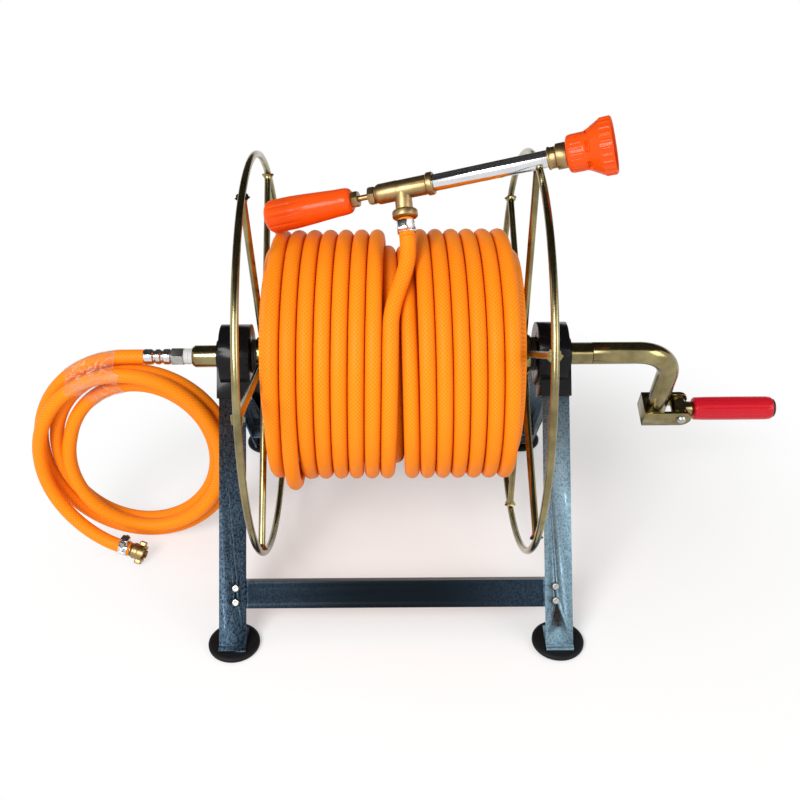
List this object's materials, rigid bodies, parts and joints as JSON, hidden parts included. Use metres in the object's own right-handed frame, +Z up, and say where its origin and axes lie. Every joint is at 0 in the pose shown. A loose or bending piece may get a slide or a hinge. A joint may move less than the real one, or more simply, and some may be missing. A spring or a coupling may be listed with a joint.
{
  "type": "hose reel",
  "caption": "Spray hose reel on an A-frame stand with wire wheels, a wound hose, a folding crank, a coiled supply hose and a spray lance laid across the top.",
  "frame": {"origin": "on the floor, under the middle of the reel's box measured without the supply hose", "axes": "+X along the axle towards the crank, +Y to the rear, +Z up"},
  "size_m": [0.7475, 0.3764, 0.4508],
  "materials": {
    "black_plastic": "moulded, slightly glossy",
    "bearing_plastic": "smooth, self-lubricating",
    "navy_paint": "hammered dark blue paint",
    "blue_grey_paint": "hammered blue-grey paint",
    "zinc_steel": "zinc plated",
    "yellow_zinc": "yellow chromate plated, slightly mottled",
    "foot_rubber": "matte",
    "hose_orange": "translucent skin over a woven braid, glossy",
    "brass": "turned, satin",
    "bright_nickel": "bright plated",
    "seal_rubber": "oiled",
    "grip_red": "glossy",
    "cap_black": "matte",
    "nozzle_red": "glossy",
    "clear_tape": "clear, glossy"
  },
  "bodies": {
    "frame": {"bracket_left": "black_plastic", "bracket_right": "black_plastic", "leg_front_left": "navy_paint", "leg_front_right": "blue_grey_paint", "leg_rear_left": "navy_paint", "leg_rear_right": "blue_grey_paint", "crossbar_front": "navy_paint", "crossbar_rear": "navy_paint", "bar_screws": "zinc_steel", "bar_nuts": "zinc_steel", "rivets": "zinc_steel", "foot_front_left": "foot_rubber", "foot_front_right": "foot_rubber", "foot_rear_left": "foot_rubber", "foot_rear_right": "foot_rubber", "bushes": "bearing_plastic", "swivel_nipple": "zinc_steel", "swivel_seals": "seal_rubber", "union_nut": "zinc_steel", "inlet_ferrule": "bright_nickel", "inlet_hose": "hose_orange", "hose_tie": "clear_tape", "inlet_clamp": "bright_nickel", "inlet_clamp_screw": "zinc_steel", "inlet_tail": "brass"},
    "drum": {"axle_pipe": "yellow_zinc", "thrust_washers": "bearing_plastic", "wheel_hubs": "yellow_zinc", "spokes_left": "yellow_zinc", "spokes_right": "yellow_zinc", "rim_left": "yellow_zinc", "rim_right": "yellow_zinc", "drum_barrel": "yellow_zinc", "hose_core": "hose_orange", "hose_winding": "hose_orange", "outlet_tail": "brass", "inner_lead": "hose_orange", "crank_spigot": "yellow_zinc", "crank_pipe": "yellow_zinc", "crank_clevis": "yellow_zinc", "crank_pin": "zinc_steel"},
    "crank_handle": {"handle_rod": "yellow_zinc", "grip_cap": "cap_black"},
    "hand_grip": {"grip": "grip_red"},
    "supply_nut": {"inlet_coupling": "brass"},
    "lance": {"lance_body": "brass", "lance_tube": "bright_nickel", "gland_nut": "brass", "lance_adapter": "brass", "nozzle_insert": "brass", "branch_nut": "brass", "lance_tail": "brass", "lance_hose_end": "hose_orange", "lance_clamp": "bright_nickel", "lance_clamp_screw": "zinc_steel"},
    "valve_spindle": {"valve_rod": "brass"},
    "lance_grip": {"rod_nut": "brass", "lance_handle": "nozzle_red"},
    "nozzle": {"nozzle_bell": "nozzle_red"}
  },
  "joints": [
    {"name": "drum_spin", "type": "hinge", "parent": "frame", "child": "drum", "pos_m": [-0.0754, 0, 0.217], "axis": [1, 0, 0], "continuous": true},
    {"name": "crank_fold", "type": "hinge", "parent": "drum", "child": "crank_handle", "pos_m": [0.2155, 0.03078, 0.13243], "axis": [0, -0.9397, -0.342], "range_deg": [0, 90]},
    {"name": "grip_spin", "type": "hinge", "parent": "crank_handle", "child": "hand_grip", "pos_m": [0.2689, 0.03078, 0.13243], "axis": [1, 0, 0], "continuous": true},
    {"name": "supply_nut_spin", "type": "hinge", "parent": "frame", "child": "supply_nut", "pos_m": [-0.33913, -0.04617, 0.01201], "axis": [0.9467, -0.2714, -0.1736], "continuous": true},
    {"name": "lance_lift", "type": "slide", "parent": "frame", "child": "lance", "axis": [0, 0, 1], "range_m": [0, 0.15]},
    {"name": "valve_stroke", "type": "slide", "parent": "lance", "child": "valve_spindle", "axis": [0.9428, -0.1901, 0.2738], "range_m": [0, 0.006]},
    {"name": "lance_grip_turn", "type": "hinge", "parent": "valve_spindle", "child": "lance_grip", "pos_m": [-0.14847, 0.02019, 0.35559], "axis": [0.9428, -0.1901, 0.2738], "range_deg": [0, 720]},
    {"name": "nozzle_turn", "type": "hinge", "parent": "lance", "child": "nozzle", "pos_m": [0.08422, -0.02673, 0.42317], "axis": [0.9428, -0.1901, 0.2738], "range_deg": [0, 270]}
  ],
  "couplings": [
    {"joint": "valve_stroke", "follows": "lance_grip_turn", "m_per_rad": 0.00047746}
  ]
}
